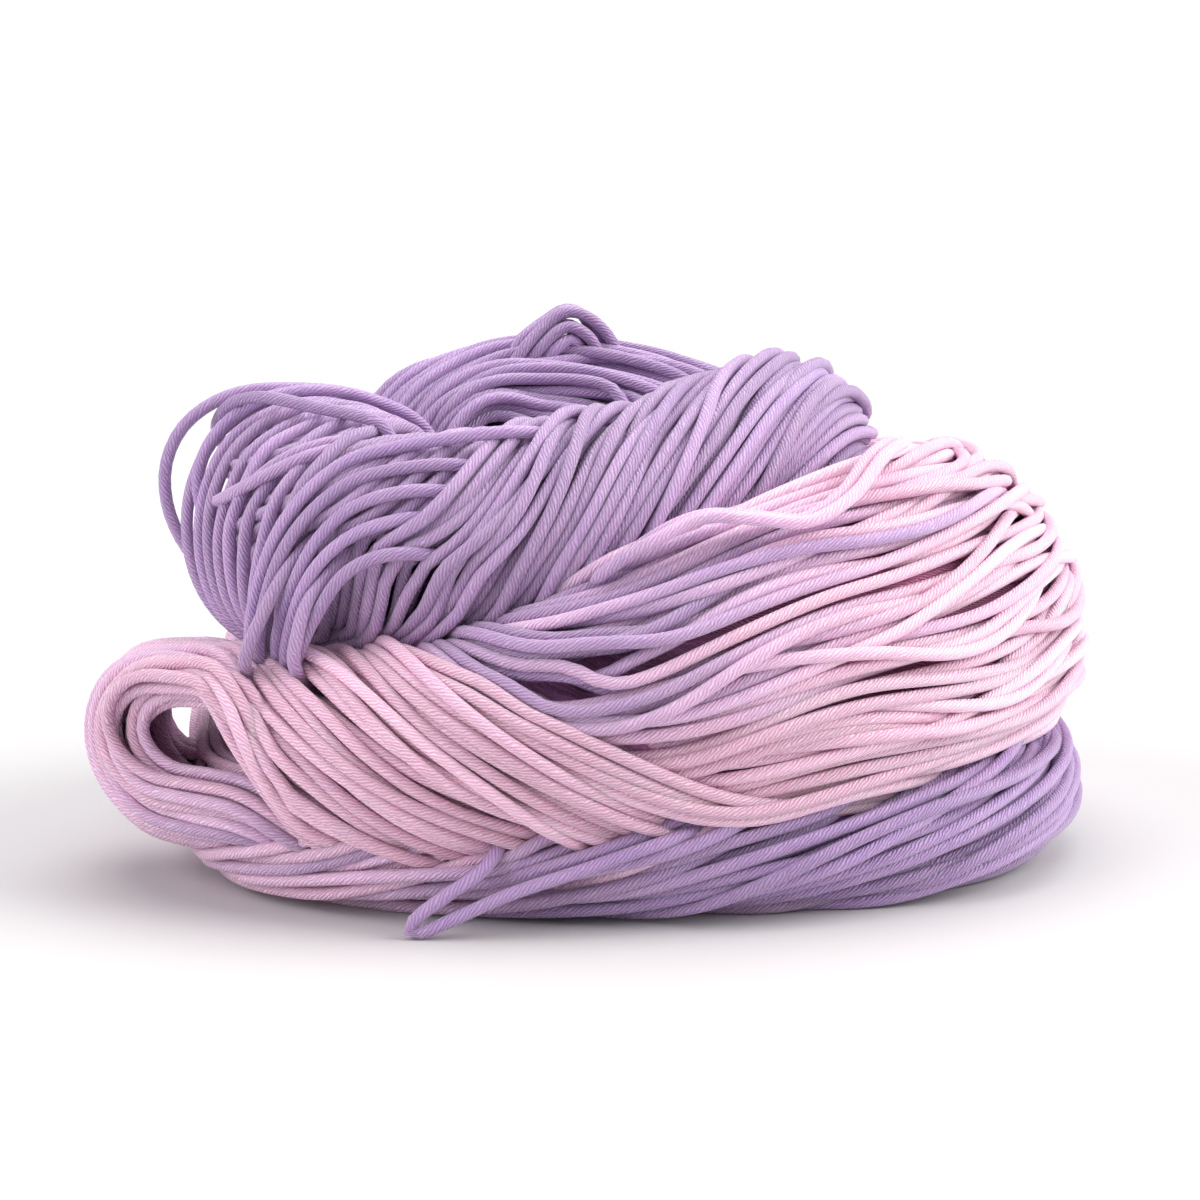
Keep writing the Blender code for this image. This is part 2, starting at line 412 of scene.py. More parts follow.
@dataclass(frozen=True)
class YarnFinish:
    """Soft plied cotton, dyed from lavender to pink, with a painted highlight on its ridges and
    painted shade in its grooves.
    """

    name: str  # the material's name
    plies: float = 10.0  # fine ridges round one strand
    lay_length: float = 8.0  # length along the strand in which a ridge goes once round it
    drift: float = 9.0  # how far uneven spinning shifts the ridges, in radians
    ridge: float = 0.15  # depth of the ridges in millimetres
    fuzz: float = 0.55  # height of the fibres against that of a ridge
    relief: float = 0.9  # strength of both
    patches: float = 0.22  # spread of the dye along a strand
    light: float = 0.66  # lightness in the grooves of the darkest strand
    ridge_highlight: float = 0.34  # how much lighter a ridge is: a painted highlight
    strand_light: float = 0.27  # how much lighter the lightest strand is
    painted_shade: float = 0.0  # how much darker the whole finish is: painted shade
    strength: float = 1.3  # strength of the colours in the grooves, where they carry painted shade
    highlight_paling: float = 0.35  # how much weaker they are on the ridges, paled by the painted highlight
    roughness: float = 0.45  # roughness of the fibres and of their sheen
    gloss: float = 0.55  # level of their reflections
    sheen: float = 0.25  # weight of their soft sheen
    glow: float = 0.35  # share of the light that scatters inside them
    glow_depth: float = 2.0  # how far it spreads, in millimetres
    # How far red, green and blue spread against that.
    glow_tint: tuple[float, float, float] = (1.0, 0.5, 0.8)

    def material(self) -> bpy.types.Material:
        """Return the node material of this finish.

        Its graph reads three things that the meshes store: lay, the place round and along
        the strand, dye, how pink it is, and shade, the strand's own number from 0 to 1.
        """
        material = bpy.data.materials.new(self.name)
        material.use_nodes = True
        graph = NodeGraph(material.node_tree)
        lay = graph.read("lay").outputs["Vector"]
        dye, shade = (graph.read(name).outputs["Fac"] for name in ("dye", "shade"))
        across, upward, along = graph.add("SeparateXYZ", Vector=lay).outputs
        around = graph.math("MULTIPLY", graph.math("ARCTAN2", upward, across), self.plies)
        wound = graph.math("MULTIPLY", along, 2.0 * math.pi * self.plies / self.lay_length)
        phase = graph.math("MULTIPLY_ADD", graph.noise(lay, *DRIFT_NOISE), self.drift,
                           graph.math("ADD", around, wound))
        lift = graph.math("MULTIPLY_ADD", graph.math("SINE", phase), 0.5, 0.5)

        # The relief: ridges, and in them fibres that follow their lay.
        stretched = (graph.math("MULTIPLY", value, stretch)
                     for value, stretch in zip((phase, along), FIBRE_STRETCH))
        fibres = graph.noise(graph.point(*stretched, shade), *FIBRE_NOISE)
        height = graph.math("MULTIPLY_ADD", fibres, self.fuzz, lift)
        bump = graph.add("Bump", Strength=self.relief, Distance=self.ridge * MM,
                         Height=height)

        # The colour: a patchy dye, paler and lighter on the ridges as a painted highlight, darker
        # and stronger in the grooves as painted shade.
        place = graph.point(along, graph.math("MULTIPLY", shade, PATCH_STEP))
        uneven = graph.math("MULTIPLY_ADD", graph.noise(place, *PATCH_NOISE), self.patches,
                            graph.math("SUBTRACT", dye, 0.5 * self.patches))
        tones = graph.add("ValToRGB", Fac=uneven)
        self._set_tones(tones.color_ramp)
        strand = graph.math("MULTIPLY_ADD", shade, self.strand_light, self.light - self.painted_shade)
        toned = graph.add("HueSaturation", Color=tones.outputs["Color"],
                          Saturation=graph.math("MULTIPLY_ADD", lift, -self.highlight_paling,
                                                self.strength),
                          Value=graph.math("MULTIPLY_ADD", lift, self.ridge_highlight, strand))

        graph.feed(material.node_tree.nodes["Principled BSDF"],
                   Base_Color=toned.outputs["Color"], Normal=bump.outputs["Normal"],
                   Roughness=self.roughness, Specular_IOR_Level=self.gloss,
                   Sheen_Weight=self.sheen, Sheen_Roughness=self.roughness,
                   Subsurface_Weight=self.glow, Subsurface_Radius=self.glow_tint,
                   Subsurface_Scale=self.glow_depth * MM)
        return material

    def _set_tones(self, ramp: bpy.types.ColorRamp) -> None:
        """Spread the yarn's tones evenly over the ramp."""
        tones = list(YarnTone)
        while len(ramp.elements) < len(tones):
            ramp.elements.new(0.5)
        for i, tone in enumerate(tones):
            ramp.elements[i].position = i / (len(tones) - 1)
            ramp.elements[i].color = (*tone.value, 1.0)


@dataclass
class Strands:
    """Lines of yarn with the same number of points, and what their finish reads."""

    points: np.ndarray  # the points of each line, as lines, points and three coordinates
    dye: np.ndarray  # how pink each point is
    shade: np.ndarray  # how light each line is, from 0 to 1
    closed: bool = True  # whether each line's last point joins its first

    def length(self) -> float:
        """Return the whole length of the lines."""
        steps = np.diff(self.points, axis=1)
        return float(np.linalg.norm(steps, axis=2).sum())

    def part(self, first: int, after: int) -> "Strands":
        """Return the lines from the first number up to the one before the last."""
        return Strands(self.points[first:after], self.dye[first:after],
                       self.shade[first:after], self.closed)


@dataclass
class StrandMesher:
    """Sweeps a round section along lines of yarn."""

    diameter: float = 1.9  # the yarn's diameter
    sides: int = 8  # corners of the round section
    tip: float = 0.35  # size of an open line's last ring against a full one

    def _axes(self, points: np.ndarray, closed: bool) -> tuple[np.ndarray, np.ndarray]:
        """Carry a pair of axes along each line without needless turning.

        Args:
            points: The lines' points.
            closed: Whether the lines are closed.

        Returns:
            Two unit vectors across the line at each point.
        """
        if closed:
            ahead = np.roll(points, -1, axis=1) - np.roll(points, 1, axis=1)
        else:
            ahead = np.gradient(points, axis=1)
        tangent = unit(ahead)
        first = np.empty_like(points)
        first[:, 0] = unit(np.cross(tangent[:, 0], ASKEW))
        for i in range(1, points.shape[1]):
            carried = first[:, i - 1]
            along = (carried * tangent[:, i]).sum(1, keepdims=True)
            first[:, i] = unit(carried - along * tangent[:, i])
        if closed:
            first = self._join_turn(first, tangent)
        return first, np.cross(tangent, first)

    @staticmethod
    def _join_turn(first: np.ndarray, tangent: np.ndarray) -> np.ndarray:
        """Spread the turn that is left where a closed line meets its start.

        Args:
            first: The first axis at each point.
            tangent: The direction of the line there.

        Returns:
            The first axis, which now meets itself.
        """
        carried = first[:, -1]
        carried = unit(carried - (carried * tangent[:, 0]).sum(1, keepdims=True)
                       * tangent[:, 0])
        side = np.cross(tangent[:, 0], carried)
        left = np.arctan2((first[:, 0] * side).sum(1), (first[:, 0] * carried).sum(1))
        share = np.linspace(0.0, 1.0, first.shape[1], endpoint=False)
        turn = (left[:, None] * share)[..., None]
        return first * np.cos(turn) + np.cross(tangent, first) * np.sin(turn)

    def mesh(self, name: str, strands: Strands) -> bpy.types.Mesh:
        """Make one mesh of all the lines.

        Args:
            name: The mesh's name.
            strands: The lines to sweep along.

        Returns:
            The mesh, with the attributes that the yarn's finish reads.
        """
        points, dye = strands.points, strands.dye
        first, second = self._axes(points, strands.closed)
        if strands.closed:
            points, dye, first, second = (
                np.concatenate([values, values[:, :1]], axis=1)
                for values in (points, dye, first, second))
        lines, count, _ = points.shape
        angle = np.arange(self.sides) * 2.0 * math.pi / self.sides
        radius = 0.5 * self.diameter * np.ones(count)
        if not strands.closed:
            radius[[0, -1]] *= self.tip
        ring = (first[:, :, None] * np.cos(angle)[:, None]
                + second[:, :, None] * np.sin(angle)[:, None])
        corners = points[:, :, None] + ring * radius[:, None, None]
        steps = np.linalg.norm(np.diff(points, axis=1), axis=2)
        along = np.concatenate([np.zeros((lines, 1)), np.cumsum(steps, axis=1)], axis=1)
        mesh = mesh_from_quads(name, corners, faces_round(lines, count, self.sides))
        store_yarn(mesh, angle, along[..., None], dye[..., None],
                   strands.shade[:, None, None])
        return mesh


def faces_round(lines: int, count: int, sides: int) -> np.ndarray:
    """Return the corner numbers of the faces round lines of rings.

    Args:
        lines: Number of lines.
        count: Rings on each line.
        sides: Corners of each ring.

    Returns:
        Four corner numbers for each face.
    """
    line, ring, side = np.meshgrid(np.arange(lines), np.arange(count - 1),
                                   np.arange(sides), indexing="ij")
    base = (line * count + ring) * sides
    after = (side + 1) % sides
    corners = (base + side, base + after, base + sides + after, base + sides + side)
    return np.stack([corner.ravel() for corner in corners], axis=1)


def mesh_from_quads(name: str, corners: np.ndarray, faces: np.ndarray) -> bpy.types.Mesh:
    """Make a smooth mesh of four-sided faces.

    Args:
        name: The mesh's name.
        corners: Corner points in millimetres.
        faces: Four corner numbers for each face.

    Returns:
        The mesh.
    """
    corners = corners.reshape(-1, 3) * MM
    mesh = bpy.data.meshes.new(name)
    mesh.vertices.add(len(corners))
    mesh.vertices.foreach_set("co", corners.astype(np.float32).ravel())
    mesh.loops.add(faces.size)
    mesh.loops.foreach_set("vertex_index", faces.astype(np.int32).ravel())
    mesh.polygons.add(len(faces))
    mesh.polygons.foreach_set("loop_start", np.arange(0, faces.size, 4, dtype=np.int32))
    mesh.update(calc_edges=True)
    mesh.shade_smooth()
    return mesh


def store_yarn(mesh: bpy.types.Mesh, around: np.ndarray, along: np.ndarray,
               dye: np.ndarray, shade: np.ndarray) -> None:
    """Store what the yarn's finish reads at each corner of a mesh.

    Args:
        mesh: The mesh.
        around: Angle round the strand, in radians.
        along: Length along the strand.
        dye: How pink it is.
        shade: The strand's own number from 0 to 1.
    """
    around, along, dye, shade = np.broadcast_arrays(around, along, dye, shade)
    lay = np.stack([np.cos(around), np.sin(around), along], axis=-1)
    for name, kind, key, values in (("lay", "FLOAT_VECTOR", "vector", lay),
                                    ("dye", "FLOAT", "value", dye),
                                    ("shade", "FLOAT", "value", shade)):
        attribute = mesh.attributes.new(name, kind, "POINT")
        attribute.data.foreach_set(key, np.ascontiguousarray(values, np.float32).ravel())


def link_object(name: str, data: bpy.types.ID) -> bpy.types.Object:
    """Return a new object in the scene for a mesh, a light or a camera."""
    item = bpy.data.objects.new(name, data)
    bpy.context.scene.collection.objects.link(item)
    return item


def show_piece(mesh: bpy.types.Mesh, material: bpy.types.Material) -> None:
    """Show a piece of the skein in place of the plain solid.

    Args:
        mesh: The piece's mesh, named as the piece.
        material: Its finish.
    """
    mesh.materials.append(material)
    piece = link_object(mesh.name, mesh)
    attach(piece, BODY)
    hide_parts(SKEIN_NODE)
    LOG.info("%s: %d faces", piece.name, len(mesh.polygons))


@dataclass
class Settler:
    """Pushes overlapping strands apart while each keeps close to its guide line."""

    spacing: float = 1.95  # least distance between two strands
    rounds: int = 56  # how often the strands are pushed
    refresh: int = 6  # rounds after which near pairs are found again
    margin: float = 0.7  # added to the spacing when near pairs are found
    pull: float = 0.012  # share of its way back to the guide that a point goes each round
    stiffness: int = 2  # how often a round smooths the shifts along the strands
    skip: int = 4  # points on the same strand that don't push each other
    ease: float = 0.6  # share of a point's touching neighbours by which its push is divided

    def near_pairs(self, points: np.ndarray, lines: np.ndarray,
                   order: np.ndarray) -> tuple[np.ndarray, np.ndarray]:
        """Find the pairs of points that are near enough to touch.

        Args:
            points: All the points.
            lines: The number of each point's strand.
            order: Each point's place on its strand.

        Returns:
            The numbers of the first and second point of each pair.
        """
        reach = self.spacing + self.margin
        cell = np.floor((points - points.min(0)) / reach).astype(np.int64) + 1
        wide, deep = cell.max(0)[1:] + 2
        key = (cell[:, 0] * wide + cell[:, 1]) * deep + cell[:, 2]
        sorting = np.argsort(key, kind="stable")
        sorted_key = key[sorting]
        firsts, seconds = [], []
        for dx, dy, dz in product((0, 1), (-1, 0, 1), (-1, 0, 1)):
            if (dx, dy, dz) < (0, 0, 0):
                continue
            wanted = key + (dx * wide + dy) * deep + dz
            start = np.searchsorted(sorted_key, wanted, "left")
            count = np.searchsorted(sorted_key, wanted, "right") - start
            first = np.repeat(np.arange(len(points)), count)
            ramp = np.arange(len(first)) - np.repeat(np.cumsum(count) - count, count)
            second = sorting[np.repeat(start, count) + ramp]
            keep = first < second if dx == dy == dz == 0 else first != second
            gap = points[first] - points[second]
            keep &= (gap * gap).sum(1) < reach * reach
            keep &= ((lines[first] != lines[second])
                     | (np.abs(order[first] - order[second]) > self.skip))
            firsts.append(first[keep])
            seconds.append(second[keep])
        return np.concatenate(firsts), np.concatenate(seconds)

    def settle(self, sets: list[Strands], lowest: float) -> None:
        """Settle sets of strands together, in place.

        Args:
            sets: The strands, which start on their guide lines.
            lowest: The least height of a strand's middle above the table.
        """
        line_of, order, before, after = self._links(sets)
        guides = np.concatenate([strands.points.reshape(-1, 3) for strands in sets])
        points, total = guides.copy(), len(guides)
        for turn in range(self.rounds):
            if turn % self.refresh == 0:
                first, second = self.near_pairs(points, line_of, order)
            gap = points[first] - points[second]
            distance = np.sqrt((gap * gap).sum(1)) + 1e-9
            overlap = np.maximum(self.spacing - distance, 0.0)
            push = gap * (0.5 * overlap / distance)[:, None]
            touched = overlap > 0.0
            weight = np.bincount(first[touched], minlength=total)
            weight = weight + np.bincount(second[touched], minlength=total)
            share = 1.0 / np.maximum(self.ease * weight, 1.0)
            for axis in range(3):
                moved = np.bincount(first, push[:, axis], total)
                moved -= np.bincount(second, push[:, axis], total)
                points[:, axis] += moved * share
            shift = points - guides
            for _ in range(self.stiffness):
                shift = 0.5 * shift + 0.25 * (shift[before] + shift[after])
            points = guides + shift * (1.0 - self.pull)
            points[:, 2] = np.maximum(points[:, 2], lowest)
        ends = np.cumsum([strands.dye.size for strands in sets])[:-1]
        for strands, placed in zip(sets, np.split(points, ends)):
            strands.points = placed.reshape(strands.points.shape)

    @staticmethod
    def _links(sets: list[Strands]) -> tuple[np.ndarray, ...]:
        """Number every point's line, its place on the line, and its two neighbours."""
        links = []
        first_point, first_line = 0, 0
        for strands in sets:
            lines, count = strands.dye.shape
            place = np.tile(np.arange(count), lines)
            number = np.repeat(np.arange(lines), count)
            base = first_point + number * count
            if strands.closed:
                earlier, later = (place - 1) % count, (place + 1) % count
            else:
                earlier, later = np.maximum(place - 1, 0), np.minimum(place + 1, count - 1)
            links.append((first_line + number, place, base + earlier, base + later))
            first_point += lines * count
            first_line += lines
        return tuple(np.concatenate(values) for values in zip(*links))


@dataclass
class HankBundle:
    """The closed loops of yarn that make the skein."""

    mesher: StrandMesher = field(default_factory=StrandMesher)  # sweeps the strands
    layers: tuple[int, ...] = (30, 24)  # loops in each layer, from the outside in
    layer_inset: float = 1.75  # how much deeper each layer lies than the last
    start: float = 16.0  # length along the course at which the left end loops turn back
    stagger: float = 1.25  # how much further along that is for loops nearer the outside
    layer_lag: float = 4.0  # how much further along it is for each deeper layer
    finish: float = 10.0  # the same at the other end, from the course's end
    hold: float = 8.0  # length over which an end's loops stay open
    opening: float = 14.0  # further length over which they close into the bundle
    over_opening: float = 0.9  # least height of an end loop's upper branch, as a share
    under_opening: float = 0.2  # least depth of its lower branch
    far_opening: float = 0.58  # least height of the branches at the other end
    bulge: float = 1.3  # how far an end loop reaches out, against half its height
    arc_points: int = 16  # points on the turn at each end
    full_girth: float = 92.0  # girth up to which the layers lie one inside the other
    girth_reach: float = 34.0  # further girth at which the inner layer would be up at the surface
    most_rise: float = 0.85  # share of that rise at which it stops
    wander: float = 2.2  # how far a strand strays sideways
    wander_waves: tuple[float, float] = (48.0, 150.0)  # shortest and longest wave of that
    depth_swing: float = 1.2  # how far a strand dips below its layer
    lock_swing: float = 0.09  # how far whole locks sway round the bundle, in radians
    sway_wave: float = 170.0  # length of one such sway
    lock_wave: float = 210.0  # length in which the locks move round by one
    lock_bend: float = 0.15  # how unevenly they do, as a share of a lock
    bend_wave: float = 31.0  # length in which that goes through one radian
    calm: float = 34.0  # length beside an end's loops over which all this begins
    locks: int = 9  # locks of strands round the bundle
    bunching: float = 0.72  # how closely a lock's strands draw together, from 0 to 1
    lead: float = 0.9  # how far the under branch turns ahead where the over branch crosses it
    lead_along: float = 74.0  # length along the course at which that is
    lead_reach: float = 20.0  # half the length over which it happens
    tuck: float = 2.6  # how much deeper the under branch lies there
    tuck_angle: float = 1.6  # how far round from the seam that ends, in radians
    dye_jitter: float = 13.0  # spread of the places where the dye changes
    loop_points: int = 880  # points on one closed loop
    loops_a_piece: int = 9  # loops in one mesh
    seed: int = 11  # seed of all this unevenness
    partings: tuple[Parting, ...] = PARTINGS  # places where the strands part
    tangles: tuple[Tangle, ...] = TANGLES  # stretches where they stray further

    def noise(self, along: np.ndarray, rng: np.random.Generator) -> np.ndarray:
        """Return a slow random swing about zero along a strand."""
        swing = np.zeros_like(along)
        low, high = self.wander_waves
        for _ in range(3):
            wave = rng.uniform(low, high)
            swing += np.sin(2.0 * math.pi * (along / wave + rng.random()))
        return swing / 1.7

    def run(self, course: Course, angle: float, layer: int, branch: Branch,
            rng: np.random.Generator) -> tuple[np.ndarray, np.ndarray]:
        """Lead one branch of a loop along the course.

        Args:
            course: The bundle's course.
            angle: Where the branch leaves the left end, 0 outward and a quarter turn up.
            layer: The layer that the loop belongs to, 0 outside.
            branch: Which of the loop's two branches it is.
            rng: The source of its unevenness.

        Returns:
            The guide points and how pink they are.
        """
        along = course.along
        from_start = along - self.start_of(course, angle, layer)
        from_finish = course.length - self.finish - along
        ends = smooth_step((np.minimum(from_start, from_finish) - self.hold) / self.calm)
        seam = math.pi - abs(angle)
        crossing = hump(along, self.lead_along, self.lead_reach)
        if branch is Branch.OVER:
            crossing = 0.0
        stray = self.wander / np.sqrt(course.half_width * course.half_height)
        for tangle in self.tangles:
            stray = stray * (1.0 + tangle.more * hump(along, tangle.along, tangle.reach))
        sway = self.lock_swing * np.sin(2.0 * angle + 2.0 * math.pi * along / self.sway_wave)
        bend = self.lock_bend * np.sin(along / self.bend_wave)
        drift = 2.0 * math.pi * (along / self.lock_wave + bend)
        draw = self.bunching / self.locks * np.sin(self.locks * angle + drift)
        theta = angle + ends * (stray * self.noise(along, rng) + sway + draw)
        theta = theta - self.lead * crossing
        for parting in self.partings:
            theta = theta + parting.shift(along, theta + course.twist, layer)
        girth = math.pi * (course.half_width + course.half_height)
        rise = np.clip((girth - self.full_girth) / self.girth_reach, 0.0, self.most_rise)
        inset = (0.5 * self.mesher.diameter + self.layer_inset * layer * (1.0 - rise)
                 + self.depth_swing * (0.5 + 0.5 * self.noise(along, rng))
                 + waist_at(along)
                 + self.tuck * crossing * smooth_step(np.array(self.tuck_angle - seam)))
        near = 1.0 - smooth_step((from_start - self.hold) / self.opening)
        far = 1.0 - smooth_step(from_finish / self.opening)
        theta = course.spaced(theta + course.twist * (1.0 - near))
        out, over = np.cos(theta), np.sin(theta)
        side, height = branch.value, np.abs(over)
        least = self.over_opening if branch is Branch.OVER else self.under_opening
        over = (over * (1.0 - near - far) + side * near * (least + (1.0 - least) * height)
                - side * far * (self.far_opening + (1.0 - self.far_opening) * height))
        points = course.place(over, out, inset)
        dye = dye_at(along + rng.normal(0.0, self.dye_jitter), branch, seam)
        return points, dye

    def start_of(self, course: Course, angle: float, layer: int) -> float:
        """Return where a loop turns back at the left end, so that all show their opening."""
        depth = course.half_width[0] - self.layer_inset * layer
        begin = self.start + self.layer_lag * layer
        return begin + self.stagger * depth * math.cos(angle)

    def loop(self, course: Course, angle: float, layer: int,
             rng: np.random.Generator) -> tuple[np.ndarray, np.ndarray]:
        """Lead a closed loop out along the course and back.

        Args:
            course: The bundle's course.
            angle: Where its first branch leaves the left end.
            layer: The layer it belongs to.
            rng: The source of its unevenness.

        Returns:
            The guide points and how pink they are.
        """
        first, last = np.searchsorted(course.along, (self.start_of(course, angle, layer),
                                                     course.length - self.finish))
        over, over_dye = (values[first:last] for values in
                          self.run(course, angle, layer, Branch.OVER, rng))
        under, under_dye = (values[first:last] for values in
                            self.run(course, -angle, layer, Branch.UNDER, rng))
        far = self.arc(over[-1], under[-1], course.tangent[last])
        near = self.arc(under[0], over[0], -course.tangent[first])
        far_dye = np.linspace(over_dye[-1], under_dye[-1], len(far))
        near_dye = np.linspace(under_dye[0], over_dye[0], len(near))
        points = np.concatenate([over, far, under[::-1], near, over[:1]])
        dye = np.concatenate([over_dye, far_dye, under_dye[::-1], near_dye, over_dye[:1]])
        steps = np.linalg.norm(np.diff(points, axis=0), axis=1)
        length = np.r_[0.0, np.cumsum(steps)]
        even = np.linspace(0.0, length[-1], self.loop_points, endpoint=False)
        return points_at(even, length, points), np.interp(even, length, dye)

    def arc(self, start: np.ndarray, end: np.ndarray, way: np.ndarray) -> np.ndarray:
        """Turn a strand back at an end of the hank.

        Args:
            start: Where the turn begins.
            end: Where it ends.
            way: The direction in which it bulges.

        Returns:
            The points between its ends.
        """
        middle, half = 0.5 * (start + end), 0.5 * (start - end)
        bulge = self.bulge * np.linalg.norm(half)
        angle = np.linspace(0.0, math.pi, self.arc_points + 2)[1:-1, None]
        return middle + half * np.cos(angle) + way * bulge * np.sin(angle)

    def strands(self, course: Course) -> Strands:
        """Lead every loop of the hank along its guide line.

        Args:
            course: The bundle's course.

        Returns:
            The strands, in the order of their layer and angle.
        """
        rng = np.random.default_rng(self.seed)
        points, dyes = [], []
        for layer, count in enumerate(self.layers):
            for i in range(count):
                angle = math.pi * (i + 0.5) / count
                line, dye = self.loop(course, angle, layer, rng)
                points.append(line)
                dyes.append(dye)
        return Strands(np.array(points), np.array(dyes), rng.random(len(points)))

    def build(self, strands: Strands, material: bpy.types.Material) -> None:
        """Show the strands in pieces of a few loops each.

        Args:
            strands: The settled strands.
            material: The yarn's finish.
        """
        LOG.info("yarn in the hank: %.1f m", strands.length() * MM)
        for number, first in enumerate(range(0, len(strands.points), self.loops_a_piece)):
            group = strands.part(first, first + self.loops_a_piece)
            show_piece(self.mesher.mesh(f"yarn_loops_{number + 1}", group), material)


@dataclass(frozen=True)
class LooseYarn:
    """A few strands that leave the bundle's surface and run side by side."""

    # Points on the way of the first strand, in millimetres.
    points: tuple[tuple[float, float, float], ...]
    strands: int = 1  # how many run side by side
    dye: tuple[float, float] = (0.1, 0.1)  # how pink they are at the start and at the end
    gap: float = 2.0  # distance from one to the next
    # Points on the way of the last strand, where the group spreads.
    last: tuple[tuple[float, float, float], ...] = ()


LOOSE_YARN = (
    # The wavy pair between the upper and the middle turn.
    LooseYarn(((1, -52, 47), (8, -53.5, 52.5), (15.5, -51.5, 55.8), (23, -51, 55.6),
        (29.5, -50.5, 55.2), (35.5, -45.5, 58), (40, -37, 62), (44, -27, 63)), 2, (0.2, 0.9)),
    # Two strands that hang from the left end of the upper turn.
    LooseYarn(((-27, -31, 54), (-34, -38.5, 53.5), (-40.5, -43.5, 48.5), (-44.5, -46.5, 41),
        (-46.5, -47, 34.5), (-44.5, -40, 30), (-41, -34, 27)), 1, (0.1, 0.25)),
    LooseYarn(((-25, -33, 52), (-31, -41.5, 51), (-36.5, -46.5, 45.5), (-39.5, -48.8, 38.5),
        (-40.5, -47.5, 33.5), (-38, -41, 29.5), (-35, -36, 27)), 1, (0.1, 0.25)),
    # The strands that arch over the hollow at the left end of the upper turn.
    LooseYarn(((-43, -32, 30), (-46.2, -41, 34.5), (-45.4, -42.5, 43), (-41.2, -41.5, 53.5),
        (-34, -39, 60.5), (-24.5, -39.5, 63.2), (-13, -40, 64.5), (-2, -36.5, 64), (8, -30, 60)),
        5, (0.12, 0.12), 2.0, ((-37, -34, 30), (-40, -44.5, 33.5), (-38, -47.5, 41),
        (-34.5, -48, 46.5), (-30.5, -48.5, 49.5), (-25.5, -48.8, 51), (-20.5, -47, 50.5),
        (-15, -42, 48.5), (-9, -34, 46))),
    # The strand that bends sharply back on the table in front.
    LooseYarn(((20, -50, 15), (10, -58.5, 12.5), (0.5, -60.8, 9.5), (-9.8, -61.6, 6.3),
        (-17, -62, 3.2), (-22, -62, 1), (-24, -61.8, 1.3), (-22, -61.8, 3.6), (-17.8, -61.6, 6.6),
        (-13.6, -60.6, 9.4), (-10.5, -56, 13), (-9, -50, 14)), 1, (0.06, 0.14)),
    # The strand that crosses the opening of the left end loops.
    LooseYarn(((-44, -30, 31), (-53, -25, 30.5), (-59.5, -21, 27), (-61.8, -19.5, 21.5),
        (-59, -21, 15.5), (-50, -26, 11)), 1, (0.5, 0.5)),
    # The strands that stand round the left end of the upper turn.
    LooseYarn(((-26, 4, 56), (-33, 0, 64), (-43, -5, 66.5), (-52.5, -9, 63), (-57, -12, 55.5),
        (-57.8, -15, 47), (-55, -19, 39.5), (-49, -24, 34.5), (-41, -26, 32)),
        8, (0.16, 0.12), 2.0, ((-20, -12, 56), (-25, -20, 63.5), (-31, -28.5, 63),
        (-36.5, -35.5, 58.5), (-40.5, -40, 52.5), (-43, -42, 46), (-44, -42.5, 40),
        (-43, -40.5, 35), (-40, -36, 31))),
    # The loose loops at the left end of the upper turn.
    LooseYarn(((-22, 10, 50), (-26, 6, 60), (-33, 1, 65.5), (-42, -2, 67.3), (-51.5, -5, 67),
        (-58.5, -7, 63), (-61.5, -9, 56.5), (-60.2, -11, 49), (-55, -13, 42.5),
        (-46, -13, 38.5)), 1),
    LooseYarn(((-20, 8, 50), (-24, 3, 60.5), (-31, -3, 65.5), (-40, -6, 67.5), (-49, -8, 66),
        (-55, -11, 60.5), (-56.5, -13, 53), (-52, -16, 45), (-46, -14, 41)), 1),
    LooseYarn(((-50, 2, 54), (-54, -4, 62), (-48, -12, 66.8), (-39, -19.5, 66.5), (-30, -26, 64),
        (-23, -29, 58)), 1),
)
TOP_LOOP_YARN = (
    LooseYarn(((-19, 25, 60), (-13, 26, 67), (-7, 28, 73), (-3.5, 28.5, 75.6), (-0.2, 29, 74.4),
        (1.6, 30, 70), (1, 31, 62)), 3, (0.12, 0.12), 1.9),
    LooseYarn(((-17, 24.5, 60), (-12, 25.5, 65.5), (-7, 27, 70.6), (-3.8, 27.5, 73.2),
        (-1.4, 28, 72.2), (-0.4, 29, 68), (-1, 30, 61)), 3, (0.12, 0.12), 1.9),
    LooseYarn(((-14, 24.5, 60), (-10.5, 25.5, 65), (-7, 27, 68.6), (-4.2, 27.5, 70.4),
        (-2.6, 28, 69.6), (-2.2, 29, 66), (-3, 30, 60)), 2, (0.12, 0.12), 1.9),
)


@dataclass
class LooseStrands:
    """The strands that lie loose on the heap."""

    rows: tuple[LooseYarn, ...]  # where they run
    mesher: StrandMesher = field(default_factory=StrandMesher)  # sweeps the strands
    count: int = 44  # points on each strand

    def strands(self) -> Strands:
        """Return the strands on smooth lines through their points."""
        points, dyes, shades = [], [], []
        for row in self.rows:
            for number in range(row.strands):
                way = np.array(row.points, dtype=float)
                if row.last:
                    way = way + (np.array(row.last) - way) * number / (row.strands - 1)
                course = Course(tuple(Section(*place) for place in way), step=0.5)
                share = np.linspace(0.0, course.length, self.count)
                offset = 0.0 if row.last else (number - 0.5 * (row.strands - 1)) * row.gap
                points.append(points_at(share, course.along, course.centre)
                              + points_at(share, course.along, course.across) * offset)
                dyes.append(np.linspace(*row.dye, self.count))
                shades.append((SHADE_STEP * len(points)) % 1.0)
        return Strands(np.array(points), np.array(dyes), np.array(shades), closed=False)

    def build(self, name: str, strands: Strands, material: bpy.types.Material) -> None:
        """Show the settled strands as one piece of that name."""
        show_piece(self.mesher.mesh(name, strands), material)


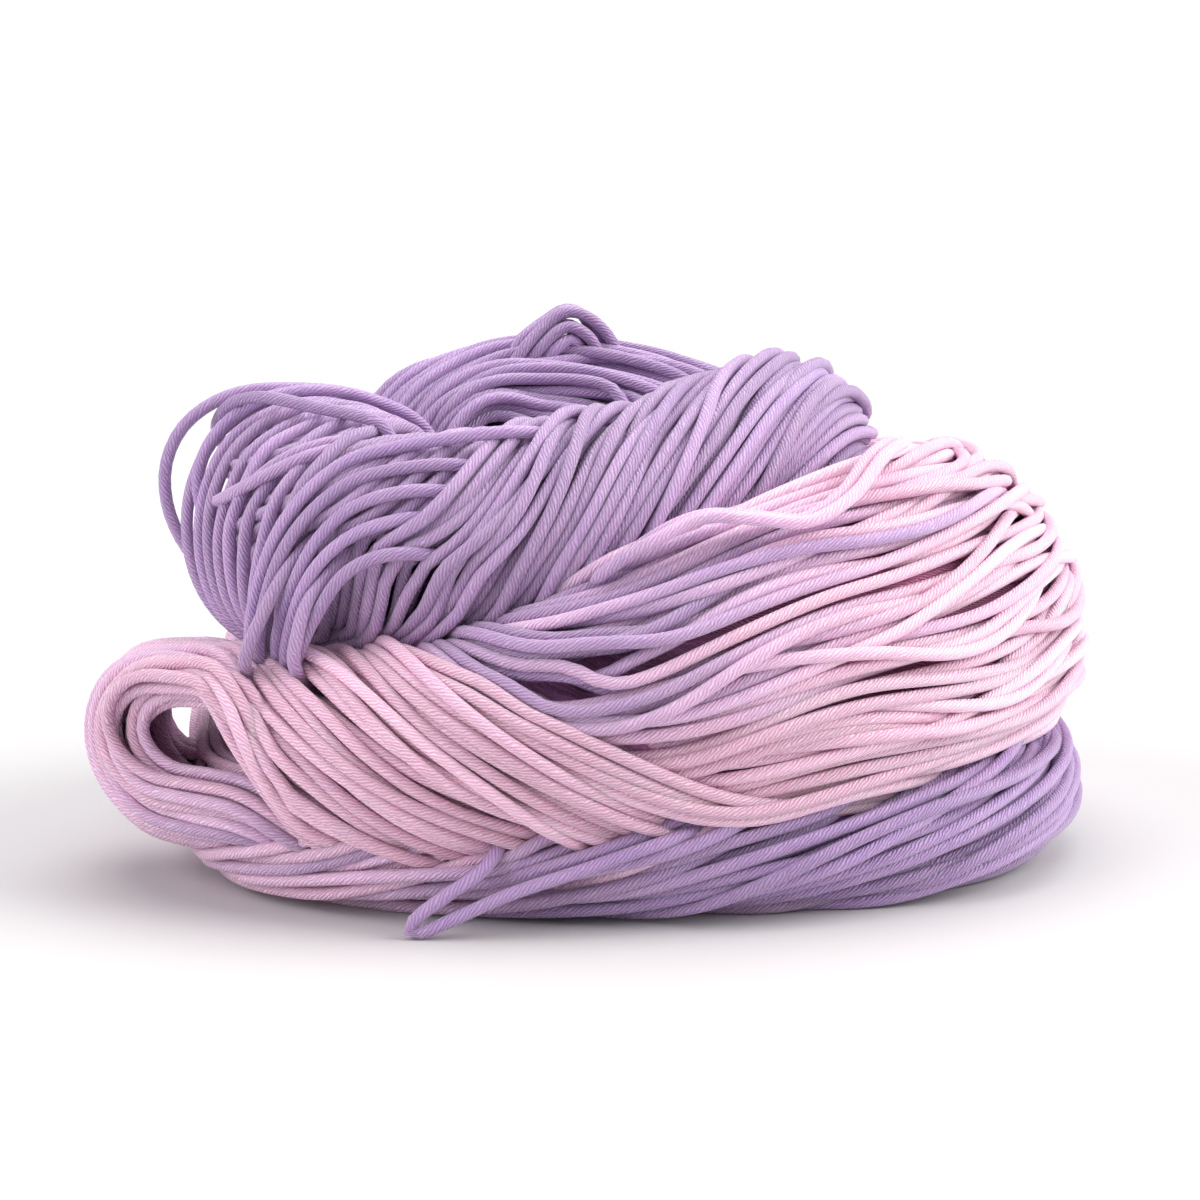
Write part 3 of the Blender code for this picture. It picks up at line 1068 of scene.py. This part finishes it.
@dataclass
class InnerYarn:
    """The closely packed yarn that the outer strands lie on, in a finish made darker and stronger
    in colour as painted shade between them.
    """

    inset: float = 3.9  # how far it lies inside the bundle's surface
    strands: int = 38  # strands that show round it
    # Places across one strand where it has a corner, from -1 to 1.
    profile: tuple[float, ...] = (-1.0, -0.62, 0.0, 0.62)
    strand_depth: float = 0.85  # how far the grooves between its strands go in
    sway: float = 0.07  # how far its strands sway round the bundle, in radians
    sway_wave: float = 74.0  # length of one such sway
    swell: float = 0.5  # how uneven its surface is
    swell_wave: float = 13.0  # length in which that goes through one radian
    start: float = 42.0  # length along the course at which it begins
    finish: float = 24.0  # the same at the other end, counted from the course's end
    stride: int = 2  # stations from one ring to the next
    closing: int = 4  # rings over which an end closes
    lowest: float = 0.4  # its least height above the table
    partings: tuple[Parting, ...] = PARTINGS  # places where the outer strands part and it lies back

    def build(self, course: Course, material: bpy.types.Material) -> None:
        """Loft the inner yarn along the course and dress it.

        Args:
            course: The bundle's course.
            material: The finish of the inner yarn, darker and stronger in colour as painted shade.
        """
        along = course.along
        kept = np.flatnonzero((along >= self.start)
                              & (along <= course.length - self.finish))[::self.stride]
        across = np.tile(self.profile, self.strands)
        number = np.repeat(np.arange(self.strands), len(self.profile))
        angle = (number + 0.5 + 0.5 * across) * 2.0 * math.pi / self.strands
        groove = self.strand_depth * (1.0 - np.sqrt(1.0 - across ** 2))
        corners = np.stack([self.line(course, place, depth)[kept]
                            for place, depth in zip(angle, groove)], axis=1)
        corners = self.closed_ends(corners)
        mesh = mesh_from_quads("inner_yarn", corners, faces_round(1, *corners.shape[:2]))
        dye = 0.5 * (dye_at(along, Branch.OVER) + dye_at(along, Branch.UNDER))
        store_yarn(mesh, math.pi * across, along[kept][:, None], dye[kept][:, None],
                   (INNER_SHADE_STEP * number) % 1.0)
        show_piece(mesh, material)

    def line(self, course: Course, place: float, depth: float) -> np.ndarray:
        """Return one line of the surface along the whole course.

        Args:
            course: The bundle's course.
            place: Where it lies round the bundle, in radians.
            depth: How far it lies in a groove.

        Returns:
            Its points.
        """
        along = course.along
        theta = place + self.sway * np.sin(2.0 * math.pi * along / self.sway_wave
                                           + 2.0 * place)
        inset = self.inset + depth + self.swell * np.sin(along / self.swell_wave
                                                         + 3.0 * place)
        inset = inset + waist_at(along)
        for parting in self.partings:
            inset = inset + parting.pit * parting.nearness(along, theta + course.twist)
        theta = course.spaced(theta + course.twist)
        return course.place(np.sin(theta), np.cos(theta), inset)

    def closed_ends(self, corners: np.ndarray) -> np.ndarray:
        """Draw the rings together at both ends, and hold them above the table.

        Args:
            corners: The corners of each ring.

        Returns:
            The corners of the closed surface.
        """
        ring = np.arange(len(corners))
        near = np.minimum(ring, ring[::-1]) / self.closing
        closing = np.sqrt(np.clip(1.0 - (1.0 - np.clip(near, 0.0, 1.0)) ** 2, 0.01, 1.0))
        middle = corners.mean(axis=1, keepdims=True)
        corners = middle + (corners - middle) * closing[:, None, None]
        corners[..., 2] = np.maximum(corners[..., 2], self.lowest)
        return corners


@dataclass(frozen=True)
class SoftLight:
    """A soft light: the way to it, its spread in degrees, its power and its colour."""

    name: str
    way: tuple[float, float, float]
    spread: float
    power: float
    colour: tuple[float, float, float]

    def build(self) -> None:
        """Set the light in the scene."""
        data = bpy.data.lights.new(self.name, "SUN")
        data.angle = math.radians(self.spread)
        data.energy = self.power
        data.color = self.colour
        lamp = link_object(self.name, data)
        lamp.location = self.way
        lamp.rotation_euler = Vector(self.way).to_track_quat("Z", "Y").to_euler()


@dataclass
class Studio:
    """The table, the soft lights and the camera."""

    # The point that the camera looks at, in metres.
    target: tuple[float, float, float] = (0.001, -0.00044, 0.0354)
    distance: float = 0.55  # the camera's distance from it, in metres
    elevation: float = 10.0  # the camera's height above the horizon, in degrees
    lens: float = 110.55  # its focal length in millimetres
    sensor: float = 36.0  # width of its sensor in millimetres
    floor_size: float = 40.0  # side of the table top, in metres
    floor_colour: tuple[float, float, float] = (0.60, 0.592, 0.596)  # colour of the table top
    room_light: float = 0.40  # strength of the light from all round
    background: float = 1.05  # brightness of the background that the camera sees
    # The lights round the skein.
    lights: tuple[SoftLight, ...] = (
        SoftLight("key_light", (0.84, -0.04, 0.50), 50.0, 3.4, (1.0, 0.985, 0.97)),
        SoftLight("left_light", (-0.82, -0.28, 0.45), 56.0, 1.9, (1.0, 0.98, 1.0)),
        SoftLight("top_light", (0.10, 0.34, 0.94), 60.0, 2.1, (1.0, 1.0, 1.0)),
    )

    def build(self) -> None:
        """Set the table, the lights and the camera."""
        self.floor()
        self.world()
        for light in self.lights:
            light.build()
        self.camera()

    def floor(self) -> None:
        """Lay the plain pale table top."""
        half = 0.5 * self.floor_size / MM
        corners = np.array([(-half, -half, 0.0), (half, -half, 0.0),
                            (half, half, 0.0), (-half, half, 0.0)])
        mesh = mesh_from_quads("table_top", corners, np.array([[0, 1, 2, 3]]))
        material = bpy.data.materials.new("pale_table")
        material.use_nodes = True
        NodeGraph(material.node_tree).feed(material.node_tree.nodes["Principled BSDF"],
                                           Base_Color=(*self.floor_colour, 1.0),
                                           Roughness=0.8)
        mesh.materials.append(material)
        table = link_object("table_top", mesh)

    def world(self) -> None:
        """Fill the room with soft light in front of a white background."""
        world = bpy.data.worlds.new("white_room")
        world.use_nodes = True
        graph = NodeGraph(world.node_tree)
        seen = graph.add("LightPath").outputs["Is Camera Ray"]
        strength = graph.add("MapRange", Value=seen, To_Min=self.room_light,
                             To_Max=self.background)
        graph.feed(world.node_tree.nodes["Background"], Color=(1.0, 1.0, 1.0, 1.0),
                   Strength=strength.outputs["Result"])
        bpy.context.scene.world = world

    def camera(self) -> None:
        """Set the camera at the height and distance of the picture."""
        data = bpy.data.cameras.new("camera")
        data.lens = self.lens
        data.sensor_width = self.sensor
        data.clip_start = 0.01
        camera = link_object("camera", data)
        angle = math.radians(self.elevation)
        back = Vector((0.0, -math.cos(angle), math.sin(angle)))
        camera.location = Vector(self.target) + back * self.distance
        camera.rotation_euler = (-back).to_track_quat("-Z", "Y").to_euler()
        bpy.context.scene.camera = camera


def main() -> None:
    """Build the studio and the skein in order."""
    logging.basicConfig(level=logging.INFO, format="%(name)s: %(message)s")
    bpy.context.scene.view_settings.view_transform = "Standard"
    Studio().build()
    yarn = YarnFinish("dyed_yarn").material()
    # The inner yarn's finish: darker and stronger in colour as painted shade between the strands,
    # with no sheen and no glow.
    shade_painted_yarn = YarnFinish("shade_painted_yarn", painted_shade=0.32, sheen=0.0, strength=2.1, glow=0.0).material()
    course = Course(MIDDLE_TURN + BOTTOM_TURN + INNER_TURN + UPPER_TURN)
    LOG.info("course: %.0f mm, %d stations", course.length, len(course.along))
    bundle = HankBundle()
    hank = bundle.strands(course)
    loose, knot = LooseStrands(LOOSE_YARN), LooseStrands(TOP_LOOP_YARN)
    loose_strands, knot_strands = loose.strands(), knot.strands()
    Settler().settle([hank, loose_strands, knot_strands], 0.5 * bundle.mesher.diameter)
    bundle.build(hank, yarn)
    loose.build("loose_strands", loose_strands, yarn)
    knot.build("top_loop", knot_strands, yarn)
    InnerYarn().build(course, shade_painted_yarn)


if __name__ == "__main__":
    main()
